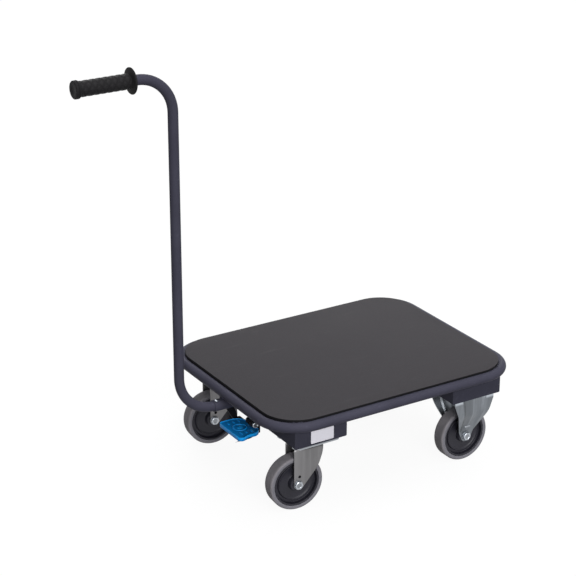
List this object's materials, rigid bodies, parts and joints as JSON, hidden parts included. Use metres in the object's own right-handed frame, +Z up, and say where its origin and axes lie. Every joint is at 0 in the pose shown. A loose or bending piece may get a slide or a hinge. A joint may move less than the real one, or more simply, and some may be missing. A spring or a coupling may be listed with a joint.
{
  "type": "platform dolly",
  "caption": "Low platform dolly with a rounded tubular ring frame, flat deck, single bent push handle with a grip, swivel and fixed castors, and a foot pedal brake.",
  "frame": {"origin": "on the floor, under the middle of the whole dolly", "axes": "+Z up, +X from the handle towards the fixed castors, +Y across the dolly"},
  "size_m": [0.953, 0.51, 0.9755],
  "materials": {
    "frame_paint": "satin powder coat",
    "black_paint": "satin",
    "deck_edge": "matt",
    "deck_covering": "fine textured",
    "grip_rubber": "matt, moulded pattern",
    "pedal_plastic": "moulded",
    "label_white": "blank",
    "zinc": "zinc plated",
    "bare_steel": "ground",
    "tyre_grey": "non-marking",
    "hub_plastic": "moulded"
  },
  "bodies": {
    "dolly": {"frame_ring": "frame_paint", "front_cross_channel": "frame_paint", "rear_cross_channel": "frame_paint", "rating_plate": "label_white", "deck_board": "deck_edge", "deck_mat": "deck_covering", "deck_lugs": "frame_paint", "deck_nuts": "zinc", "handle_tube": "frame_paint", "handle_socket": "frame_paint", "handle_screw": "zinc", "handle_grip": "grip_rubber", "pedal_bracket": "black_paint", "pedal_pivot_bolt": "zinc", "pedal_pivot_nut": "zinc", "brake_shaft_bearings": "bare_steel", "front_castor_bolts": "zinc", "front_castor_nuts": "zinc", "rear_castor_bolts": "zinc", "rear_castor_nuts": "zinc", "swivel_near_plate": "zinc", "swivel_near_kingpin": "bare_steel", "swivel_near_balls": "bare_steel", "swivel_far_plate": "zinc", "swivel_far_kingpin": "bare_steel", "swivel_far_balls": "bare_steel", "fixed_near_fork": "zinc", "fixed_near_axle_bolt": "zinc", "fixed_near_axle_nut": "zinc", "fixed_far_fork": "zinc", "fixed_far_axle_bolt": "zinc", "fixed_far_axle_nut": "zinc"},
    "swivel_near": {"swivel_near_fork": "zinc", "swivel_near_axle_bolt": "zinc", "swivel_near_axle_nut": "zinc"},
    "swivel_far": {"swivel_far_fork": "zinc", "swivel_far_axle_bolt": "zinc", "swivel_far_axle_nut": "zinc"},
    "swivel_near_wheel": {"swivel_near_tyre": "tyre_grey", "swivel_near_hub": "hub_plastic", "swivel_near_bearing": "bare_steel"},
    "swivel_far_wheel": {"swivel_far_tyre": "tyre_grey", "swivel_far_hub": "hub_plastic", "swivel_far_bearing": "bare_steel"},
    "fixed_near_wheel": {"fixed_near_tyre": "tyre_grey", "fixed_near_hub": "hub_plastic", "fixed_near_bearing": "bare_steel"},
    "fixed_far_wheel": {"fixed_far_tyre": "tyre_grey", "fixed_far_hub": "hub_plastic", "fixed_far_bearing": "bare_steel"},
    "pedal": {"pedal_lever": "black_paint", "pedal_pad": "pedal_plastic", "pedal_return_spring": "bare_steel"},
    "brake_shaft": {"brake_shaft": "bare_steel"},
    "plunger_near": {"brake_plunger_near": "bare_steel"},
    "plunger_far": {"brake_plunger_far": "bare_steel"}
  },
  "joints": [
    {"name": "swivel_near_turn", "type": "hinge", "parent": "dolly", "child": "swivel_near", "pos_m": [-0.0565, -0.1815, 0.169], "axis": [0, 0, 1], "continuous": true},
    {"name": "swivel_near_roll", "type": "hinge", "parent": "swivel_near", "child": "swivel_near_wheel", "pos_m": [-0.08091, -0.17936, 0.0625], "axis": [0.0872, 0.9962, 0], "continuous": true},
    {"name": "swivel_far_turn", "type": "hinge", "parent": "dolly", "child": "swivel_far", "pos_m": [-0.0565, 0.1815, 0.169], "axis": [0, 0, 1], "continuous": true},
    {"name": "swivel_far_roll", "type": "hinge", "parent": "swivel_far", "child": "swivel_far_wheel", "pos_m": [-0.08091, 0.18363, 0.0625], "axis": [0.0872, 0.9962, 0], "continuous": true},
    {"name": "fixed_near_roll", "type": "hinge", "parent": "dolly", "child": "fixed_near_wheel", "pos_m": [0.3625, -0.1815, 0.0625], "axis": [0, 1, 0], "continuous": true},
    {"name": "fixed_far_roll", "type": "hinge", "parent": "dolly", "child": "fixed_far_wheel", "pos_m": [0.3625, 0.1815, 0.0625], "axis": [0, 1, 0], "continuous": true},
    {"name": "pedal_press", "type": "hinge", "parent": "dolly", "child": "pedal", "pos_m": [-0.1275, 0, 0.174], "axis": [0, -1, 0], "range_deg": [0, 12], "stiffness_Nm_per_rad": 0.6, "springref_deg": -8.59},
    {"name": "brake_shaft_turn", "type": "hinge", "parent": "dolly", "child": "brake_shaft", "pos_m": [-0.0835, 0, 0.193], "axis": [0, 1, 0], "range_deg": [0, 16.2]},
    {"name": "plunger_near_drop", "type": "slide", "parent": "dolly", "child": "plunger_near", "axis": [0, 0, -1], "range_m": [0, 0.0074]},
    {"name": "plunger_far_drop", "type": "slide", "parent": "dolly", "child": "plunger_far", "axis": [0, 0, -1], "range_m": [0, 0.0074]}
  ],
  "couplings": [
    {"joint": "brake_shaft_turn", "follows": "pedal_press", "ratio": 1.35},
    {"joint": "plunger_near_drop", "follows": "pedal_press", "m_per_rad": 0.03533},
    {"joint": "plunger_far_drop", "follows": "pedal_press", "m_per_rad": 0.03533}
  ]
}
